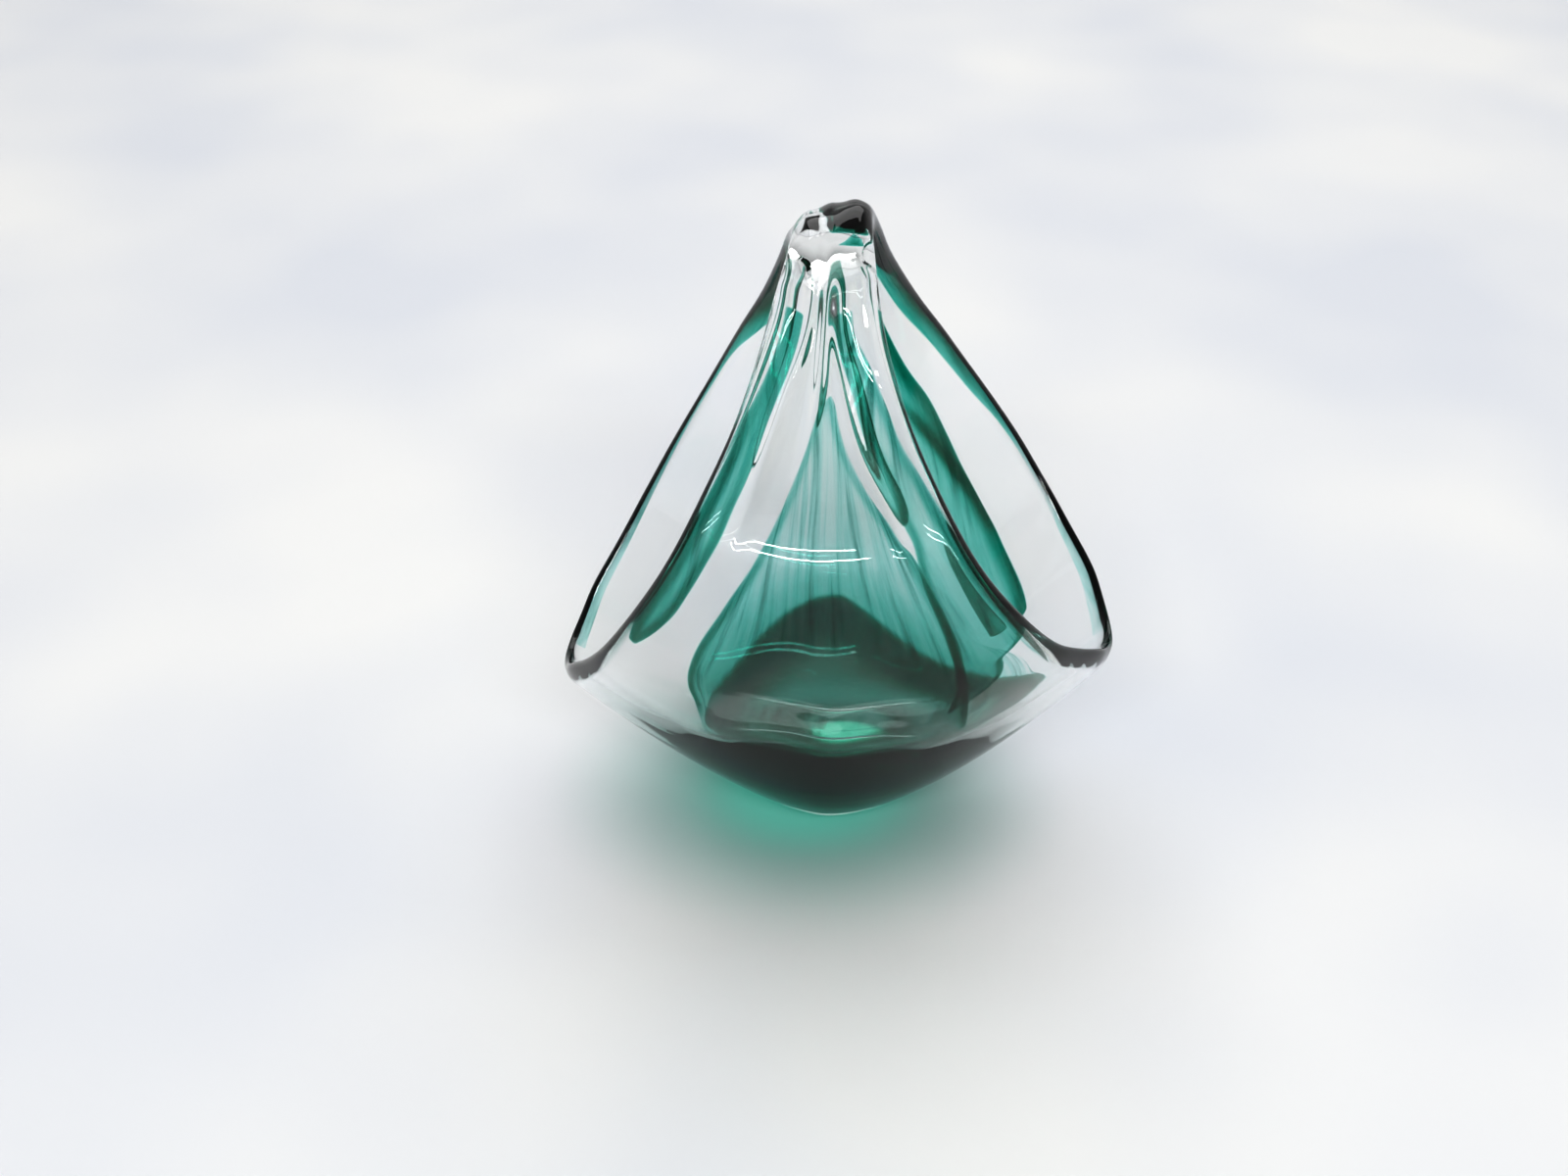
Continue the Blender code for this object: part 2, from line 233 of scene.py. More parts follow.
BAND_EDGE = (
    (0.180, 0.700), (0.207, 0.775), (0.341, 0.763), (0.411, 0.738), (0.475, 0.713),
    (0.535, 0.700), (0.602, 0.675), (0.669, 0.600), (0.773, 0.538), (0.850, 0.500),
    (0.960, 0.450))
BAND_FOLD = (
    (0.180, 0.640), (0.300, 0.560), (0.450, 0.440), (0.602, 0.300), (0.773, 0.150),
    (0.960, 0.000))


class Wall:
    """The bowl's wall at one way up its ring."""

    def __init__(self, sizes, turn):
        """turn runs from 0 at the foot, through 0.5 at the knob by the front, to 1 at the foot."""
        self.sizes = sizes
        self.turn = turn
        self.side = FRONT if turn < 0.5 else BACK
        self.way = 1.0 - abs(1.0 - 2.0 * turn)
        depth, height = read_line(OUTSIDE_LINE, self.way, crossing=1)
        self.outside = (self.side * depth * sizes.belly_depth, height * sizes.top_height)
        self.inward = self.find_inward()
        floor = max(read_line(FLOOR_SHARE, self.way)[0], 0.0)
        knob = max(read_line(KNOB_SHARE, self.way)[0], 0.0)
        plain = 1.0 - max(floor, knob)
        self.thickness = (floor * sizes.floor_thickness + knob * sizes.knob_thickness
                          + plain * sizes.wall_thickness)
        self.lip_thickness = sizes.lip_thickness + knob * (
            KNOB_LIP_SHARE * sizes.knob_thickness - sizes.lip_thickness)
        across, out, up = read_line(LIP_LINE, self.way, crossing=2)
        self.half_width = sizes.neck_half_width + across * (
            sizes.half_width - sizes.neck_half_width)
        self.lip_depth = self.side * out * sizes.rim_depth
        knob_middle = sizes.top_height - 0.5 * sizes.knob_thickness
        self.lip_height = sizes.left_tip + up * (knob_middle - sizes.left_tip)
        self.lift = (sizes.right_tip - sizes.left_tip) * (1.0 - fade(self.way, *LIFT_FADE))
        self.lip_run = min(0.5 * self.lip_thickness, KNOB_ROUND * sizes.neck_half_width)

    def find_inward(self):
        """The direction through the wall, towards the inside, in the Y-Z plane."""
        low = read_line(OUTSIDE_LINE, max(self.way - SLOPE_STEP, 0.0), crossing=1)
        high = read_line(OUTSIDE_LINE, min(self.way + SLOPE_STEP, 1.0), crossing=1)
        along_y = (high[0] - low[0]) * self.sizes.belly_depth
        along_z = (high[1] - low[1]) * self.sizes.top_height
        length = math.hypot(along_y, along_z)
        # At the foot and the knob the direction turns upright, so the inside stays round there.
        at_foot = 1.0 - fade(self.way, *FOOT_TURN_FADE)
        at_knob = fade(self.way, *KNOB_TURN_FADE)
        lean = -self.side * along_z / length * (1.0 - at_foot - at_knob)
        rise = along_y / length * (1.0 - at_foot - at_knob) + at_foot - at_knob
        length = math.hypot(lean, rise)
        return (lean / length, rise / length)

    def lip_share(self, across):
        """0 in the middle of the wall and 1 at its lips."""
        bend = FOOT_BEND + (WALL_BEND - FOOT_BEND) * fade(self.way, *BEND_FADE)
        return min(math.hypot(across, MIDDLE_ROUND) ** bend, 1.0)

    def half(self, across):
        """Half of the wall's thickness at one way across it."""
        share = self.lip_share(across)
        return 0.5 * (self.thickness * (1.0 - share) + self.lip_thickness * share)

    def glass(self, across):
        """The thickness of the glass, which falls off quickly beside the solid floor."""
        share = self.lip_share(across)
        plain = self.sizes.wall_thickness
        slim = plain + KEEL_SHARE * (self.thickness - plain)
        beside = fade(abs(across), *KEEL_FADE) * (1.0 - fade(self.way, *KEEL_END_FADE))
        middle = self.thickness + beside * (min(self.thickness, slim) - self.thickness)
        return middle * (1.0 - share) + self.lip_thickness * share

    def place(self, across, offset):
        """A point of the wall: across from -1 to 1, and offset in metres in from its middle."""
        share = self.lip_share(across)
        x = across * self.half_width + self.sizes.neck_shift * fade(self.way, *SHIFT_FADE)
        y = (self.outside[0] + self.inward[0] * 0.5 * self.thickness) * (1.0 - share)
        z = (self.outside[1] + self.inward[1] * 0.5 * self.thickness) * (1.0 - share)
        y += self.lip_depth * share + self.inward[0] * offset
        z += self.lip_height * share + self.inward[1] * offset
        if across > 0.0:
            z += self.lift * across ** 2
        z += self.sizes.knob_tilt * x * fade(self.way, *TILT_FADE)
        z -= self.sizes.foot_dip * (1.0 - z / self.sizes.top_height)
        return (x, y, max(z, 0.0))

    def relief(self, across):
        """How far the outside stands out in ridges or falls in folds, in metres."""
        if self.side > 0.0:
            wave = math.cos(math.pi * BACK_FOLDS * across + BACK_FOLD_TURN)
            rise = fade(self.way, *BACK_FOLD_FADE) * (
                1.0 - 0.6 * fade(self.way, *BACK_FOLD_KNOB_FADE))
            return -BACK_FOLD_DEPTH * rise * (1.0 - wave) * (1.0 - across ** 4)
        height = 0.0
        for line, high, wide, begin, full in RELIEF:
            rise = fade(self.way, begin, full) * (1.0 - 0.9 * fade(self.way, *RELIEF_KNOB_FADE))
            gap = (across - smooth(line, self.way)) * self.half_width
            height += high * rise * math.exp(-(gap / wide) ** 2)
        return height * (1.0 - fade(abs(across), *RELIEF_LIP_FADE))

    def steps(self, count):
        """Ways across the wall from lip to lip, each with the share of the thickness there."""
        run = self.lip_run / self.half_width
        found = []
        lip_count = count // LIP_STEPS_PART
        for i in range(lip_count):
            angle = 0.5 * math.pi * (1.0 - i / lip_count)
            found.append((-(1.0 - run + run * math.sin(angle)), math.cos(angle)))
        middle = count - 2 * lip_count
        inner = [((1.0 - run) * (2.0 * i / middle - 1.0), 1.0) for i in range(middle + 1)]
        return found + inner + [(-across, share) for across, share in reversed(found)]

    def skin(self, count):
        """The whole section of the glass: its outside from lip to lip, then its inside back."""
        steps = self.steps(count)
        loop = [self.place(a, -(self.half(a) + self.relief(a)) * share) for a, share in steps]
        loop += [self.place(a, (self.glass(a) - self.half(a)) * share)
                 for a, share in reversed(steps[1:-1])]
        return loop

    def seam(self, across):
        """Offset of the middle of the colour, in from the wall's middle."""
        glass = self.glass(across)
        return 0.5 * glass - self.half(across) + 0.125 * glass * (1.0 - across ** 2)

    def sheet_loop(self, left, right, thick, count):
        """Section of a sheet of colour between two ways across: its outer face, then its inner."""
        outer, inner = [], []
        for i in range(count):
            part = 0.5 - 0.5 * math.cos(math.pi * (i + 0.5) / count)
            across = left + (right - left) * part
            inside = min(across - left, right - across) * self.half_width
            edge = min(inside / COLOUR_EDGE, 1.0)
            body = math.sqrt(edge * (2.0 - edge))
            half = 0.5 * body * min(thick(self, across, inside), SHEET_ROOM * self.glass(across))
            outer.append(self.place(across, self.seam(across) - half))
            inner.append(self.place(across, self.seam(across) + half))
        return outer + inner[::-1]


# Ridges and folds of the front wall, which run up to the knob: way, part of the width.
LEFT_PILLAR = ((0.50, -0.92), (0.65, -0.87), (0.77, -0.80), (0.84, -0.68), (0.89, -0.62),
               (1.00, -0.60))
RIGHT_PILLAR = ((0.60, 0.86), (0.70, 0.80), (0.76, 0.70), (0.83, 0.60), (0.89, 0.38),
                (1.00, 0.36))
VALLEY = ((0.60, -0.72), (0.72, -0.66), (0.77, -0.62), (0.82, -0.53), (0.89, -0.30),
          (1.00, -0.25))
SECOND_VALLEY = ((0.60, -0.56), (0.70, -0.38), (0.78, -0.16), (0.84, -0.05), (0.90, -0.02),
                 (1.00, 0.00))
WINDOW = ((0.62, 0.70), (0.70, 0.60), (0.77, 0.43), (0.84, 0.28), (0.90, 0.12), (1.00, 0.10))
# Each ridge or fold: its line, height, half width, and the ways over which it comes in.
RELIEF = (
    (LEFT_PILLAR, 0.0016, 0.0030, 0.55, 0.85),
    (RIGHT_PILLAR, 0.0018, 0.0032, 0.60, 0.85),
    (VALLEY, -0.0014, 0.0016, 0.62, 0.82),
    (SECOND_VALLEY, -0.0016, 0.0014, 0.70, 0.88),
    (WINDOW, -0.0008, 0.0016, 0.62, 0.78),
)


def edged(base, rise, run, top=1.0):
    """A sheet's thickness: even, with a bead along its edge, and a part of it left at its top."""
    def thick(wall, across, inside):
        drawn = 1.0 + (top - 1.0) * fade(wall.way, 0.40, 0.76)
        return base * drawn * (1.0 + rise * math.exp(-((inside - 0.0009) / run) ** 2))
    return thick


# The arch over the pool, where the flame thins out: half width, middle and height, as ways across
# and up the ring, and the levels between which it ends.
ARCH_HALF_WIDTH = 0.62
ARCH_MIDDLE = 0.30
ARCH_HEIGHT = 0.26
ARCH_FADE = (0.90, 1.06)


def flame_thickness(wall, across, inside):
    """The flame: a bead along its edges, thin at its top and in an arch over the pool."""
    level = math.hypot(across / ARCH_HALF_WIDTH, (wall.way - ARCH_MIDDLE) / ARCH_HEIGHT)
    drawn = 0.12 + 0.88 * fade(level, *ARCH_FADE)
    return drawn * edged(0.00062, 2.4, 0.0008, 0.22)(wall, across, inside)


# A dark streak in the back wall's band: way, part of the width.
BAND_STREAK = ((0.34, 0.765), (0.361, 0.750), (0.421, 0.725), (0.472, 0.675), (0.532, 0.613),
               (0.582, 0.538), (0.62, 0.470))


def band_thickness(wall, across, inside):
    """The back wall's band: a bead along its edges, and a dark streak that crosses it."""
    off = (across - smooth(BAND_STREAK, wall.way)) * wall.half_width
    drawn = fade(wall.way, 0.33, 0.40) * (1.0 - fade(wall.way, 0.55, 0.63))
    bead = edged(0.00060, 2.6, 0.0020)(wall, across, inside)
    return bead + 0.0024 * drawn * math.exp(-(off / 0.0013) ** 2)


# The pool of colour in the base: how far it reaches to the left, to the right (as parts of the
# width), up the front wall and up the back wall (ways up the ring), how far a thin veil of it runs
# out over its edge in the back wall, and how much its right side is drawn out.
POOL_LEFT = 0.495
POOL_RIGHT = 0.80
POOL_FRONT = 0.365
POOL_BACK = 0.345
POOL_SPILL = 1.22
POOL_DRAWN = 0.75
POOL_TURN_FADE = (0.0, 0.12)   # the ways over which the two walls' pools differ

# The pale spot in the pool, where its colour is thin, and the painted glow on the floor beneath
# it: middle and half sizes, in metres.
SPOT_MIDDLE = (0.004, 0.003)
SPOT_SIZE = (0.0125, 0.0088)


def pool_height(wall):
    """How far up the ring the pool of colour reaches in the front wall and in the back wall."""
    return POOL_FRONT if wall.side < 0.0 else POOL_BACK


def pool_spill(wall):
    """How far a thin veil of the pool's colour runs out over its edge in the back wall."""
    return 1.0 if wall.side < 0.0 else 1.0 + (POOL_SPILL - 1.0) * fade(wall.way, 0.0, 0.14)


def pool_level(wall, across):
    """0 in the middle of the pool and 1 at its edge, which runs out further on the right."""
    up = wall.way / pool_height(wall)
    if across < 0.0:
        return math.hypot(across / POOL_LEFT, up)
    return (across / POOL_RIGHT) ** (1.0 / POOL_DRAWN) + up


def pool_thickness(wall, across, inside):
    """The pool of colour in the base: a dark rim, rings in its floor, and a pale middle."""
    x, y = wall.place(across, 0.0)[:2]
    x, y = x - SPOT_MIDDLE[0], y - SPOT_MIDDLE[1]
    spread = math.hypot(x / SPOT_SIZE[0], y / SPOT_SIZE[1])
    turn = math.atan2(y, x)
    rings = 0.5 + 0.5 * math.cos(4.6 * spread + 1.3 * math.sin(turn + 0.6))
    level, spill = pool_level(wall, across), pool_spill(wall)
    front = fade(wall.way, *POOL_TURN_FADE) if wall.side < 0.0 else 0.0
    rim = (1.0 - 0.75 * front) * math.exp(-((level - 0.88) / 0.15) ** 2)
    body = 0.00016 + 0.00110 * fade(spread, 0.85, 1.15) + 0.00090 * rings * fade(spread, 1.0, 1.2)
    pool = (body + 0.0030 * rim * fade(spread, 0.9, 1.5)) * (1.0 - fade(level, 0.97, 1.01))
    veil = 0.00035 * fade(level, 0.90, 1.0) * (1.0 - fade(level, spill - 0.2, spill))
    return pool + veil + 0.00006


def between(low, high):
    """Limits across a sheet that follow two lines."""
    return lambda wall: (smooth(low, wall.way), smooth(high, wall.way))


def pool_limits(wall):
    """Limits of the pool across the ring."""
    spill = pool_spill(wall)
    up = min(wall.way / pool_height(wall), spill)
    return (-POOL_LEFT * math.sqrt(spill ** 2 - up ** 2), POOL_RIGHT * (spill - up) ** POOL_DRAWN)


def lip_limits(line):
    """Limits of the colour along a lip, from a line to the lip."""
    def limits(wall):
        edge = smooth(line, wall.way)
        return (-0.985, edge) if edge < 0.0 else (edge, 0.985)
    return limits


def lip_thickness(line):
    """The colour along a lip, which deepens from its line to the lip."""
    def thick(wall, across, inside):
        depth = (abs(across) - abs(smooth(line, wall.way))) * wall.half_width
        drawn = 0.10 + 0.90 * fade(wall.way, 0.34, 0.60)
        return (0.0009 + 0.0032 * fade(depth, 0.0005, 0.0048)) * drawn
    return thick


# Where the colour of the back wall's lips begins: way, part of the width.
LEFT_LIP_LINE = (
    (0.03, -0.950), (0.20, -0.958), (0.46, -0.968), (0.55, -0.962), (0.632, -0.935),
    (0.706, -0.83), (0.753, -0.71), (0.80, -0.66), (0.90, -0.74), (0.96, -0.72))
RIGHT_LIP_LINE = (
    (0.03, 0.950), (0.20, 0.958), (0.40, 0.968), (0.50, 0.955), (0.565, 0.925), (0.635, 0.895),
    (0.699, 0.85), (0.763, 0.775), (0.849, 0.69), (0.90, 0.62), (0.945, 0.45), (0.99, 0.05))

# The sheets of colour: name, first way and last way up the ring, round end at the first and at
# the last (as parts of the run), limits across, thickness, and the wall that each lies in.
SHEETS = (
    ("teal_finger_left", 0.430, 0.900, 0.04, 0.02, between(FINGER_LEFT_EDGE, FINGER_LEFT_FOLD),
     edged(0.00080, 1.8, 0.0010, 0.45), FRONT),
    ("teal_flame", 0.340, 0.825, 0.05, 0.0, between(FLAME_LEFT, FLAME_RIGHT),
     flame_thickness, FRONT),
    ("teal_finger_right", 0.395, 0.905, 0.02, 0.02, between(RIGHT_FOLD, RIGHT_EDGE),
     edged(0.00062, 2.2, 0.0008, 0.35), FRONT),
    ("teal_back_band", 0.190, 0.960, 0.06, 0.03, between(BAND_FOLD, BAND_EDGE),
     band_thickness, BACK),
    ("teal_lip_left", 0.04, 0.955, 0.05, 0.06, lip_limits(LEFT_LIP_LINE),
     lip_thickness(LEFT_LIP_LINE), BACK),
    ("teal_lip_right", 0.04, 0.99, 0.05, 0.03, lip_limits(RIGHT_LIP_LINE),
     lip_thickness(RIGHT_LIP_LINE), BACK),
)


class Value:
    """A shader socket that can be used in sums, products and powers."""

    def __init__(self, tree, socket):
        self.tree = tree
        self.socket = socket

    def math(self, operation, *others):
        return self.tree.node("ShaderNodeMath", {"operation": operation}, self, *others)

    def __add__(self, other):
        return self.math("ADD", other)

    def __mul__(self, other):
        return self.math("MULTIPLY", other)

    def __pow__(self, other):
        return self.math("POWER", other)


class Tree:
    """The nodes of a material or a world, made one call at a time."""

    def __init__(self, owner, output="ShaderNodeOutputMaterial"):
        owner.use_nodes = True
        self.owner = owner
        self.nodes = owner.node_tree.nodes
        self.links = owner.node_tree.links
        self.nodes.clear()
        self.output = self.nodes.new(output)

    def feed(self, socket, value):
        if isinstance(value, Value):
            self.links.new(value.socket, socket)
        elif value is not None:
            socket.default_value = value

    def node(self, kind, settings, *values, out=0, **named):
        """Add a node, make its settings, then feed its sockets by order and by name."""
        made = self.nodes.new(kind)
        for key, setting in settings.items():
            if key == "stops":
                ramp = made.color_ramp
                while len(ramp.elements) < len(setting):
                    ramp.elements.new(0.5)
                for element, (place, colour) in zip(ramp.elements, setting):
                    element.position = place
                    element.color = colour
            else:
                setattr(made, key, setting)
        for socket, value in zip(made.inputs, values):
            self.feed(socket, value)
        for key, value in named.items():
            self.feed(made.inputs[key.replace("_", " ")], value)
        return Value(self, made.outputs[out])


def principled(tree, **named):
    """The surface shader, linked to the output."""
    shader = tree.node("ShaderNodeBsdfPrincipled", {}, **named)
    tree.links.new(shader.socket, tree.output.inputs["Surface"])
    return shader


def absorb(tree, colour, density):
    """A plain absorbing volume inside the glass."""
    volume = tree.node(
        "ShaderNodeVolumeAbsorption", {}, Color=(*colour, 1.0), Density=density)
    tree.links.new(volume.socket, tree.output.inputs["Volume"])


def clear_glass_material(colours):
    """Hand-worked clear glass: cords and faint ripples of the pull, and a trace of green."""
    tree = Tree(bpy.data.materials.new("clear_glass_worked"))
    place = tree.node("ShaderNodeTexCoord", {}, out=3)
    stretch = tree.node("ShaderNodeMapping", {}, place, Scale=(60.0, 60.0, 9.0))
    cords = tree.node("ShaderNodeTexNoise", {}, Vector=stretch, Scale=1.6, Detail=0.0)
    broad = tree.node("ShaderNodeTexNoise", {}, Vector=place, Scale=28.0, Detail=0.0)
    height = cords * 0.6 + broad * 0.8
    bump = tree.node("ShaderNodeBump", {}, Height=height, Strength=0.06, Distance=0.0006)
    tint = tree.node(
        "ShaderNodeValToRGB", {"stops": ((0.3, (0.985, 0.995, 0.990, 1.0)),
                                         (0.7, (1.0, 1.0, 1.0, 1.0)))}, cords)
    principled(tree, Base_Color=tint, Roughness=0.0, IOR=1.5, Transmission_Weight=1.0,
               Normal=bump)
    absorb(tree, colours.clear, colours.clear_density)
    return tree.owner


def teal_glass_material(colours):
    """Teal glass under the clear: it bends no light of its own, and its colour runs in streaks."""
    tree = Tree(bpy.data.materials.new("teal_glass_streaked"))
    flow = tree.node("ShaderNodeAttribute", {"attribute_name": "flow"}, out=1)
    drift = tree.node("ShaderNodeTexNoise", {}, out=1, Vector=flow, Scale=3.0, Detail=1.0)
    bent = tree.node("ShaderNodeVectorMath", {"operation": "MULTIPLY_ADD"},
                     drift, (0.16, 0.16, 0.0), flow)
    stretch = tree.node("ShaderNodeMapping", {}, bent, Scale=(15.0, 3.0, 1.0))
    streaks = tree.node(
        "ShaderNodeTexNoise", {}, Vector=stretch, Scale=1.0, Detail=3.0, Roughness=0.6)
    tint = tree.node(
        "ShaderNodeValToRGB", {"stops": ((0.34, (0.22, 0.50, 0.46, 1.0)),
                                         (0.46, (0.66, 0.90, 0.88, 1.0)),
                                         (0.58, (1.0, 1.0, 1.0, 1.0)))}, streaks)
    arch = tree.node("ShaderNodeMapping", {}, flow,
                     Location=(0.0, -ARCH_MIDDLE / ARCH_HEIGHT, 0.0),
                     Scale=(1.0 / ARCH_HALF_WIDTH, 1.0 / ARCH_HEIGHT, 0.0))
    level = tree.node("ShaderNodeVectorMath", {"operation": "LENGTH"}, arch, out=1)
    streaked = tree.node("ShaderNodeMapRange", {"interpolation_type": "SMOOTHSTEP"}, level,
                         From_Min=ARCH_FADE[0], From_Max=ARCH_FADE[1])
    tint = tree.node("ShaderNodeMix", {"data_type": "RGBA"}, streaked, None, None, None, None,
                     None, (1.0, 1.0, 1.0, 1.0), tint, out=2)
    principled(tree, Base_Color=tint, Roughness=0.0, IOR=1.0, Transmission_Weight=1.0)
    absorb(tree, colours.teal, colours.teal_density)
    return tree.owner


def deselect():
    bpy.ops.object.select_all(action="DESELECT")


def ring_piece(name, loops, material):
    """A closed ring of glass: a torus whose sections are drawn out to the given loops."""
    deselect()
    loop_steps = len(loops[0])
    bpy.ops.mesh.primitive_torus_add(
        major_segments=len(loops), minor_segments=loop_steps, major_radius=1.0,
        minor_radius=0.25)
    piece = bpy.context.object
    piece.name = name
    mesh = piece.data
    mesh.name = name
    places = [spot for loop in loops for spot in loop]
    mesh.vertices.foreach_set("co", [number for spot in places for number in spot])
    shape = bmesh.new()
    shape.from_mesh(mesh)
    bmesh.ops.recalc_face_normals(shape, faces=shape.faces)
    shape.to_mesh(mesh)
    shape.free()
    mesh.shade_smooth()
    mesh.materials.append(material)
    return piece


class GLASSBOWL_OT_body(bpy.types.Operator):
    """Blow the clear glass: casing and lining fused into one body"""

    bl_idname = "glassbowl.body"
    bl_label = "Clear Glass Body"

    def execute(self, context):
        sizes = context.scene.bowl_sizes
        loops = []
        for i in range(sizes.ring_steps):
            # The steps crowd at the foot and the knob, where the lips turn most.
            turn = i / sizes.ring_steps
            turn -= STEP_CROWDING / (4.0 * math.pi) * math.sin(4.0 * math.pi * turn)
            loops.append(Wall(sizes, turn).skin(sizes.across_steps))
        body = ring_piece("clear_glass_body", loops,
                          clear_glass_material(context.scene.bowl_colours))
        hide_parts("clear_casing", "clear_lining")
        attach(body, "root")
        return {"FINISHED"}


def sheet_piece(name, walls, limits, thick, round_low, round_high, material):
    """A sheet of colour: a ball whose rings are drawn out to the sheet's sections."""
    deselect()
    count = SHEET_STEPS
    bpy.ops.mesh.primitive_uv_sphere_add(
        segments=2 * count, ring_count=len(walls) - 1, radius=1.0)
    piece = bpy.context.object
    piece.name = name
    mesh = piece.data
    mesh.name = name
    rings = []
    for i, wall in enumerate(walls):
        run = i / (len(walls) - 1)
        low, high = limits(wall)
        middle, reach = 0.5 * (low + high), 0.5 * (high - low)
        for end, length in ((run, round_low), (1.0 - run, round_high)):
            if end < length:
                reach *= math.sqrt(end / length * (2.0 - end / length))
        reach = max(reach, 1e-5)
        rings.append(wall.sheet_loop(middle - reach, middle + reach, thick, count))
    ends = [wall.place(sum(limits(wall)) * 0.5, wall.seam(sum(limits(wall)) * 0.5))
            for wall in (walls[0], walls[-1])]
    flow = mesh.attributes.new("flow", "FLOAT_VECTOR", "POINT")
    for vertex, mark in zip(mesh.vertices, flow.data):
        x, y, z = vertex.co
        ring = round(math.acos(min(max(z, -1.0), 1.0)) / math.pi * (len(walls) - 1))
        spot = round(math.atan2(y, x) / math.pi * count) % (2 * count)
        if ring in (0, len(walls) - 1):
            vertex.co = ends[0 if ring == 0 else 1]
        else:
            vertex.co = rings[ring][spot]
        wall = walls[ring]
        part = (spot if spot < count else 2 * count - 1 - spot) / count
        low, high = limits(wall)
        mark.vector = (low + (high - low) * part, wall.way, wall.side)
    shape = bmesh.new()
    shape.from_mesh(mesh)
    bmesh.ops.recalc_face_normals(shape, faces=shape.faces)
    shape.to_mesh(mesh)
    shape.free()
    mesh.shade_smooth()
    mesh.materials.append(material)
    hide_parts("teal_layer")
    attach(piece, "root")
    return piece


class GLASSBOWL_OT_colour(bpy.types.Operator):
    """Lay the sheets of teal glass between the clear gathers"""

    bl_idname = "glassbowl.colour"
    bl_label = "Teal Sheets"

    def execute(self, context):
        sizes = context.scene.bowl_sizes
        material = teal_glass_material(context.scene.bowl_colours)
        for name, low, high, round_low, round_high, limits, thick, side in SHEETS:
            walls = []
            for i in range(SHEET_RINGS + 1):
                way = low + (high - low) * (0.5 - 0.5 * math.cos(math.pi * i / SHEET_RINGS))
                walls.append(Wall(sizes, 0.5 * way if side < 0.0 else 1.0 - 0.5 * way))
            sheet_piece(name, walls, limits, thick, round_low, round_high, material)
        walls = []
        back, front = POOL_BACK * POOL_SPILL, POOL_FRONT
        for i in range(POOL_RINGS + 1):
            way = (back + front) * (0.5 - 0.5 * math.cos(math.pi * i / POOL_RINGS)) - back
            walls.append(Wall(sizes, 0.5 * way if way > 0.0 else 1.0 + 0.5 * way))
        sheet_piece("teal_pool", walls, pool_limits, pool_thickness, 0.0, 0.0, material)
        return {"FINISHED"}


# The lights: name, place, size and power. The low tubes draw the bright line across the front.
LIGHTS = (
    ("tube_0", (0.1, -0.95, 1.05), (1.3, 0.035), 5.0),
    ("tube_1", (0.1, -1.08, 1.05), (1.3, 0.035), 5.0),
    ("low_tube_0", (0.0, -0.55, 0.008), (0.10, 0.003), 0.034),
    ("low_tube_1", (0.0, -0.55, 0.030), (0.10, 0.003), 0.034),
    ("ceiling", (0.0, 0.9, 1.7), (2.2, 1.4), 22.0),
)
LIGHT_AIM = (0.0, 0.0, 0.08)
LIGHT_BOUNCES = 40         # enough for light that is caught in the thick base

# How bright the room is in front of the bowl, behind it, and above, as a part of the rest.
ROOM_FRONT = 0.30
ROOM_BACK = 0.78
ROOM_ABOVE = 0.40

# The camera: its turn and rise about the bowl, its distance, the height it looks at, how far to
# the side it looks, and its lens.
CAMERA_TURN = math.radians(5.0)
CAMERA_RISE = math.radians(38.0)
CAMERA_DISTANCE = 0.450
CAMERA_HEIGHT = 0.070
CAMERA_SIDE = -0.0136
CAMERA_LENS = 38.61


def area_light(name, place, size, power):
    data = bpy.data.lights.new(name, "AREA")
    data.shape = "RECTANGLE"
    data.size, data.size_y = size
    data.energy = power
    lamp = bpy.data.objects.new(name, data)
    bpy.context.scene.collection.objects.link(lamp)
    lamp.location = place
    lamp.visible_camera = False
    lamp.rotation_mode = "QUATERNION"
    lamp.rotation_quaternion = (Vector(LIGHT_AIM) - Vector(place)).to_track_quat("-Z", "Y")
    return lamp


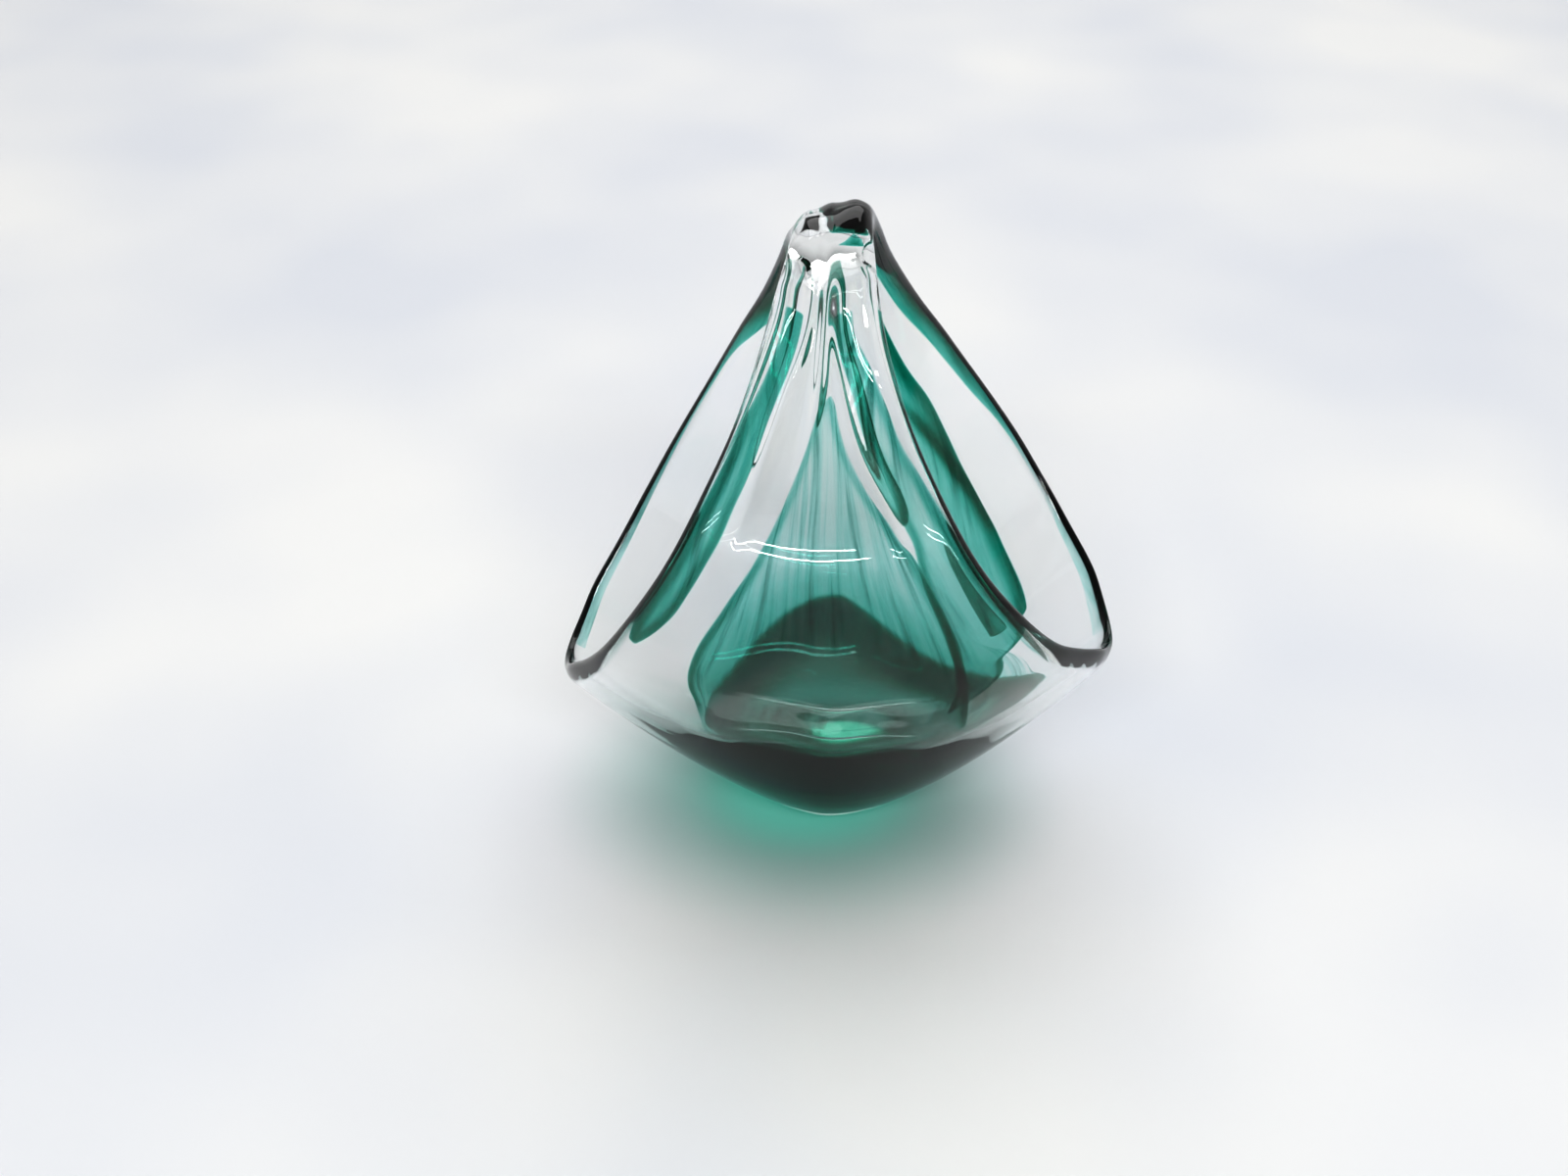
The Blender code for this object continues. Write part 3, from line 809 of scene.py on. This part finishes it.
class GLASSBOWL_OT_stage(bpy.types.Operator):
    """Set the pale floor, the soft lights and the camera"""

    bl_idname = "glassbowl.stage"
    bl_label = "Stage"

    def execute(self, context):
        scene = context.scene
        deselect()
        bpy.ops.mesh.primitive_plane_add(size=6.0, location=(0.0, 0.0, -0.0003))
        floor = context.object
        floor.name = "studio_floor"
        tree = Tree(bpy.data.materials.new("pale_floor"))
        place = tree.node("ShaderNodeTexCoord", {}, out=3)
        # Partly painted shade: a broad noise makes the flat floor darker and bluer in patches,
        # both for the cloth's uneven tone and as painted shade of its soft folds.
        cloth_tone_and_fold_shade = tree.node("ShaderNodeTexNoise", {}, Vector=place, Scale=5.0, Detail=2.0)
        tint = tree.node(
            "ShaderNodeValToRGB",
            {"stops": ((0.35, (0.72, 0.74, 0.78, 1.0)), (0.65, (0.84, 0.84, 0.83, 1.0)))}, cloth_tone_and_fold_shade)
        # Painted light: the teal shadow and glow that the bowl throws on the floor are painted, as
        # a darker teal mixed into the floor's colour and as a teal emission, with a brighter
        # painted glow at its foot.
        under = tree.node("ShaderNodeMapping", {}, place, Location=(0.10, 0.10, 0.0),
                          Scale=(13.0, 17.0, 0.0))
        spread = tree.node("ShaderNodeVectorMath", {"operation": "LENGTH"}, under, out=1)
        glow = tree.node("ShaderNodeMapRange", {"interpolation_type": "SMOOTHSTEP"}, spread,
                         From_Min=0.20, From_Max=1.05, To_Min=1.0, To_Max=0.0)
        # Painted shadow: near the foot the floor's colour is mixed towards a darker teal.
        floor_colour_with_painted_shadow = tree.node("ShaderNodeMix", {"data_type": "RGBA"}, glow, None, None, None, None,
                          None, tint, (0.27, 0.50, 0.46, 1.0), out=2)
        # Painted glow: teal emission that stands in for light passing through the glass onto the
        # floor.
        painted_glow = tree.node("ShaderNodeVectorMath", {"operation": "SCALE"}, (0.0, 0.17, 0.12),
                        Scale=glow ** 7.0)
        # Painted light: a brighter teal glow on the floor under the foot, given off as emission.
        foot = tree.node("ShaderNodeMapping", {}, place,
                         Location=[-at / size for at, size in zip(SPOT_MIDDLE, SPOT_SIZE)] + [0.0],
                         Scale=[1.0 / size for size in SPOT_SIZE] + [0.0])
        spread = tree.node("ShaderNodeVectorMath", {"operation": "LENGTH"}, foot, out=1)
        spot = tree.node("ShaderNodeMapRange", {"interpolation_type": "SMOOTHSTEP"}, spread,
                         From_Min=0.80, From_Max=1.15, To_Min=1.0, To_Max=0.0)
        painted_foot_glow = tree.node("ShaderNodeVectorMath", {"operation": "SCALE"}, (0.14, 0.44, 0.32),
                         Scale=spot)
        painted_glow = tree.node("ShaderNodeVectorMath", {"operation": "ADD"}, painted_glow, painted_foot_glow)
        # The floor glows with this painted light, though it is no lamp.
        principled(tree, Base_Color=floor_colour_with_painted_shadow, Emission_Color=painted_glow, Emission_Strength=1.0,
                   Roughness=0.9)
        floor.data.materials.append(tree.owner)
        bpy.ops.object.transform_apply(location=True, rotation=True, scale=True)

        for name, place, size, power in LIGHTS:
            area_light(name, place, size, power)
        world = bpy.data.worlds.new("room")
        tree = Tree(world, "ShaderNodeOutputWorld")
        place = tree.node("ShaderNodeTexCoord", {})
        back, up = (tree.node("ShaderNodeSeparateXYZ", {}, place, out=axis) for axis in (1, 2))
        behind = tree.node("ShaderNodeMapRange", {"interpolation_type": "SMOOTHSTEP"}, back,
                           From_Min=-0.75, From_Max=0.25, To_Min=ROOM_FRONT, To_Max=ROOM_BACK)
        above = tree.node("ShaderNodeMapRange", {"interpolation_type": "SMOOTHSTEP"}, up,
                          From_Min=0.30, From_Max=0.75, To_Min=1.0, To_Max=ROOM_ABOVE)
        light = tree.node("ShaderNodeBackground", {}, (1.0, 1.0, 1.01, 1.0), behind * above)
        tree.links.new(light.socket, tree.output.inputs["Surface"])
        scene.world = world

        right = Vector((math.cos(CAMERA_TURN), math.sin(CAMERA_TURN), 0.0))
        back = Vector((math.sin(CAMERA_TURN) * math.cos(CAMERA_RISE),
                       -math.cos(CAMERA_TURN) * math.cos(CAMERA_RISE), math.sin(CAMERA_RISE)))
        target = Vector((0.0, 0.0, CAMERA_HEIGHT)) + right * CAMERA_SIDE
        data = bpy.data.cameras.new("camera")
        data.sensor_width = 36.0
        data.lens = CAMERA_LENS
        data.clip_start = 0.01
        camera = bpy.data.objects.new("camera", data)
        scene.collection.objects.link(camera)
        camera.location = target + back * CAMERA_DISTANCE
        camera.rotation_mode = "QUATERNION"
        camera.rotation_quaternion = (-back).to_track_quat("-Z", "Y")
        scene.camera = camera

        scene.view_settings.view_transform = "Standard"
        scene.view_settings.exposure = 0.12
        scene.view_settings.gamma = 0.80
        scene.cycles.max_bounces = LIGHT_BOUNCES
        scene.cycles.glossy_bounces = LIGHT_BOUNCES
        scene.cycles.transmission_bounces = LIGHT_BOUNCES
        scene.cycles.transparent_max_bounces = LIGHT_BOUNCES
        scene.cycles.sample_clamp_indirect = 6.0
        return {"FINISHED"}


class GLASSBOWL_PT_panel(bpy.types.Panel):
    """The bowl's pieces, sizes and colours"""

    bl_idname = "GLASSBOWL_PT_panel"
    bl_label = "Glass Bowl"
    bl_space_type = "VIEW_3D"
    bl_region_type = "UI"
    bl_category = "Glass Bowl"

    def draw(self, context):
        for kind in (GLASSBOWL_OT_body, GLASSBOWL_OT_colour, GLASSBOWL_OT_stage):
            self.layout.operator(kind.bl_idname)
        for group in (context.scene.bowl_sizes, context.scene.bowl_colours):
            for name in group.bl_rna.properties.keys():
                if name not in ("rna_type", "name"):
                    self.layout.prop(group, name)


CLASSES = (
    BowlSizes, GlassColours, GLASSBOWL_OT_body, GLASSBOWL_OT_colour, GLASSBOWL_OT_stage,
    GLASSBOWL_PT_panel,
)


def register():
    for kind in CLASSES:
        bpy.utils.register_class(kind)
    bpy.types.Scene.bowl_sizes = bpy.props.PointerProperty(type=BowlSizes)
    bpy.types.Scene.bowl_colours = bpy.props.PointerProperty(type=GlassColours)


def unregister():
    del bpy.types.Scene.bowl_colours
    del bpy.types.Scene.bowl_sizes
    for kind in reversed(CLASSES):
        bpy.utils.unregister_class(kind)


def main():
    register()
    bpy.ops.glassbowl.body()
    bpy.ops.glassbowl.colour()
    bpy.ops.glassbowl.stage()


if __name__ == "__main__":
    main()
